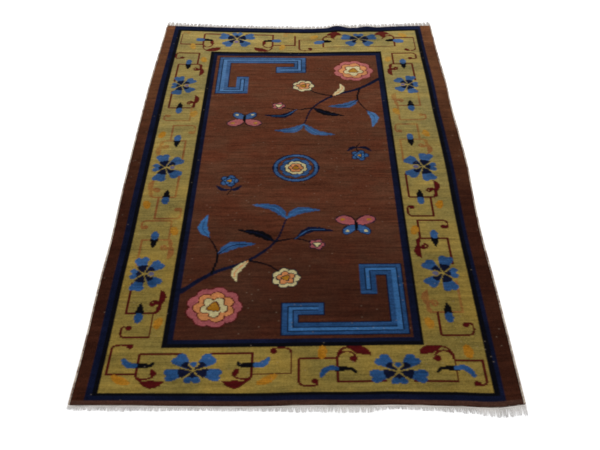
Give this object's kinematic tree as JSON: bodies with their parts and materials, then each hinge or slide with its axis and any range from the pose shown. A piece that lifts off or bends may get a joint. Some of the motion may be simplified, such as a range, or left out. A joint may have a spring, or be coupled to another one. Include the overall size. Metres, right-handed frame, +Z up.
{
  "type": "hand-knotted wool rug",
  "caption": "Oblong knotted wool rug lying flat, with overcast side cords, short cotton fringe at both ends and slightly uneven edges.",
  "frame": {"origin": "on the floor under the middle of the rug's box, fringes included", "axes": "+Z up from the floor, +Y along the rug's length towards its far end, +X to the right"},
  "size_m": [1.261, 2.2898, 0.0183],
  "materials": {
    "pile_wool": "matt clipped wool pile",
    "side_cord": "matt overcast yarn",
    "warp_cotton": "matt cotton yarn"
  },
  "bodies": {
    "root": {"rug_body": "pile_wool", "left_side_cord": "side_cord", "right_side_cord": "side_cord", "near_fringe": "warp_cotton", "far_fringe": "warp_cotton"}
  },
  "joints": []
}
